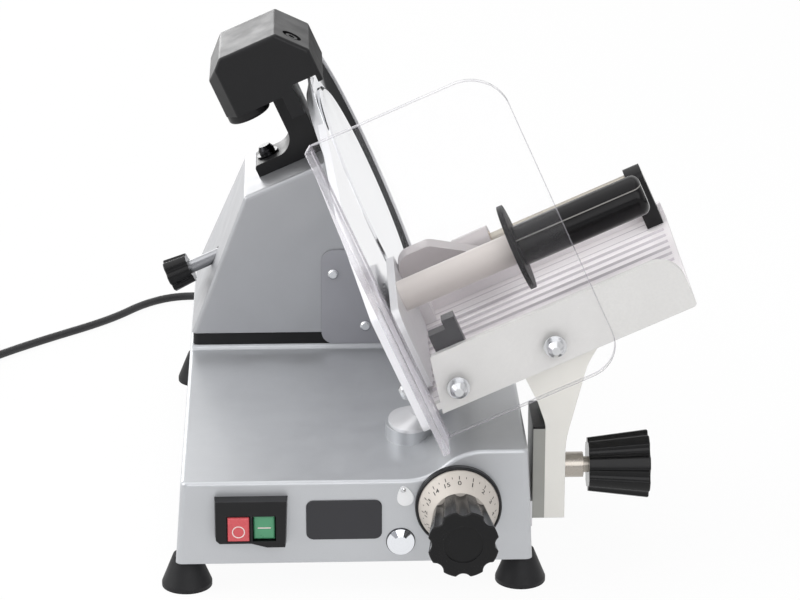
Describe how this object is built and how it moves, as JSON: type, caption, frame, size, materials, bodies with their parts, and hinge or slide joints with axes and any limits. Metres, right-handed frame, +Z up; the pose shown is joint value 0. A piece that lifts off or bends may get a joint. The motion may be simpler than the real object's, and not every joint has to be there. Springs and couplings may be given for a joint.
{
  "type": "food slicer",
  "caption": "Electric gravity-feed food slicer with a tilted round blade, a sliding tray and pusher, a clear hand guard, a thickness dial and a sharpener on top.",
  "frame": {"origin": "on the table under the middle of the base, midway between the four feet", "axes": "+X to the operator's right, +Y away from the operator, +Z up"},
  "size_m": [0.6565, 0.699, 0.3858],
  "materials": {
    "silver_paint": "satin paint on a casting",
    "grey_paint": "satin paint on a casting",
    "anodised": "satin anodised",
    "offwhite_paint": "satin paint on a casting",
    "bright_steel": "polished",
    "inner_steel": "turned",
    "chrome": "polished",
    "fasteners": "plain",
    "brass": "plain",
    "black_plastic": "satin",
    "grey_plastic": "satin",
    "pale_plate": "satin",
    "red_button": "gloss",
    "green_button": "gloss",
    "cream_plastic": "satin",
    "rubber": "matt",
    "clear_acrylic": "clear",
    "motor_paint": "matt paint",
    "abrasive": "rough",
    "cord_black": "matt"
  },
  "bodies": {
    "base": {"base_casting": "silver_paint", "underside_plate": "inner_steel", "body_screws": "fasteners", "rubber_feet": "rubber", "switch_housing": "black_plastic", "dial_ring": "black_plastic", "gauge_slide_rod": "inner_steel", "carriage_slide_rod": "chrome", "guide_bar": "inner_steel", "upper_housing": "grey_paint", "housing_gasket": "rubber", "slice_deflector": "pale_plate", "blade_spindle": "inner_steel", "spindle_bearings": "inner_steel", "drive_belt": "rubber", "motor": "motor_paint", "blade_cover": "anodised", "ring_guard": "anodised", "sharpener_bracket": "black_plastic", "cord_gland": "black_plastic", "power_cord": "cord_black", "cord_coil": "cord_black", "cord_tie": "black_plastic", "mains_plug": "black_plastic"},
    "stop_button_cap": {"stop_button": "red_button"},
    "start_button_cap": {"start_button": "green_button"},
    "dial": {"dial_scale": "cream_plastic", "dial_knob": "black_plastic", "dial_cam_shaft": "inner_steel"},
    "gauge": {"gauge_slide_block": "anodised", "gauge_support": "anodised", "gauge_plate": "anodised", "gauge_bolts": "fasteners"},
    "carriage": {"slider_foot": "anodised", "slider_bushes": "brass", "arm_bracket": "bright_steel", "carriage_arm": "offwhite_paint", "food_tray": "anodised", "tray_block": "black_plastic", "hand_guard": "clear_acrylic", "guard_fasteners": "fasteners", "pusher_rod": "bright_steel", "rod_end_block": "black_plastic"},
    "clamp": {"clamp_stud": "fasteners", "clamp_knob": "black_plastic"},
    "pusher_slider": {"pusher_liner": "brass"},
    "pusher": {"pusher_arm": "anodised", "pusher_plate": "anodised", "pusher_sleeve": "grey_plastic", "pusher_grip": "black_plastic"},
    "blade_unit": {"blade": "bright_steel", "blade_screws": "fasteners", "blade_pulley": "anodised"},
    "motor_rotor": {"motor_pulley": "anodised"},
    "tie_rod_unit": {"tie_rod": "inner_steel", "tie_rod_knob": "black_plastic"},
    "sharpener_head": {"sharpener_hood": "black_plastic"},
    "sharpener_lock": {"sharpener_knob": "black_plastic"},
    "grinding_wheel": {"grinding_stone": "abrasive"},
    "deburring_wheel": {"deburring_stone": "abrasive"}
  },
  "joints": [
    {"name": "carriage_slide", "type": "slide", "parent": "base", "child": "carriage", "axis": [0, 1, 0], "range_m": [0, 0.24]},
    {"name": "pusher_slide", "type": "slide", "parent": "carriage", "child": "pusher_slider", "axis": [0.9135, 0, 0.4067], "range_m": [0, 0.105]},
    {"name": "pusher_swing", "type": "hinge", "parent": "pusher_slider", "child": "pusher", "pos_m": [0.09719, -0.0385, 0.2009], "axis": [-0.9135, 0, -0.4067], "range_deg": [0, 100]},
    {"name": "dial_turn", "type": "hinge", "parent": "base", "child": "dial", "pos_m": [0.0756, -0.2235, 0.0685], "axis": [0, -1, 0], "range_deg": [0, 337.5]},
    {"name": "gauge_slide", "type": "slide", "parent": "base", "child": "gauge", "axis": [-1, 0, 0], "range_m": [0, 0.0164]},
    {"name": "blade_spin", "type": "hinge", "parent": "base", "child": "blade_unit", "pos_m": [0.01992, 0.0965, 0.20481], "axis": [0.9135, 0, 0.4067], "continuous": true},
    {"name": "motor_spin", "type": "hinge", "parent": "base", "child": "motor_rotor", "pos_m": [-0.04271, 0.1545, 0.09592], "axis": [0.9135, 0, 0.4067], "continuous": true},
    {"name": "stop_press", "type": "slide", "parent": "base", "child": "stop_button_cap", "axis": [0, 1, 0], "range_m": [0, 0.003], "stiffness_N_per_m": 400},
    {"name": "start_press", "type": "slide", "parent": "base", "child": "start_button_cap", "axis": [0, 1, 0], "range_m": [0, 0.003], "stiffness_N_per_m": 400},
    {"name": "clamp_turn", "type": "hinge", "parent": "carriage", "child": "clamp", "pos_m": [0.19, -0.1575, 0.071], "axis": [1, 0, 0], "range_deg": [0, 360]},
    {"name": "tie_rod_turn", "type": "hinge", "parent": "base", "child": "tie_rod_unit", "pos_m": [0.01992, 0.0965, 0.20481], "axis": [-0.9135, 0, -0.4067], "range_deg": [0, 360]},
    {"name": "sharpener_lift", "type": "slide", "parent": "base", "child": "sharpener_head", "axis": [-0.4067, 0, 0.9135], "range_m": [0, 0.025]},
    {"name": "sharpener_lock_turn", "type": "hinge", "parent": "sharpener_head", "child": "sharpener_lock", "pos_m": [-0.07669, 0.0865, 0.27673], "axis": [-0.4067, 0, 0.9135], "range_deg": [0, 360]},
    {"name": "grinding_spin", "type": "hinge", "parent": "sharpener_head", "child": "grinding_wheel", "pos_m": [-0.04783, 0.0665, 0.32133], "axis": [0.9135, 0, 0.4067], "continuous": true},
    {"name": "deburring_spin", "type": "hinge", "parent": "sharpener_head", "child": "deburring_wheel", "pos_m": [-0.02874, 0.1065, 0.32271], "axis": [0.9135, 0, 0.4067], "continuous": true}
  ],
  "couplings": [
    {"joint": "gauge_slide", "follows": "dial_turn", "m_per_rad": 0.0027841},
    {"joint": "motor_spin", "follows": "blade_spin", "ratio": 2.5}
  ]
}
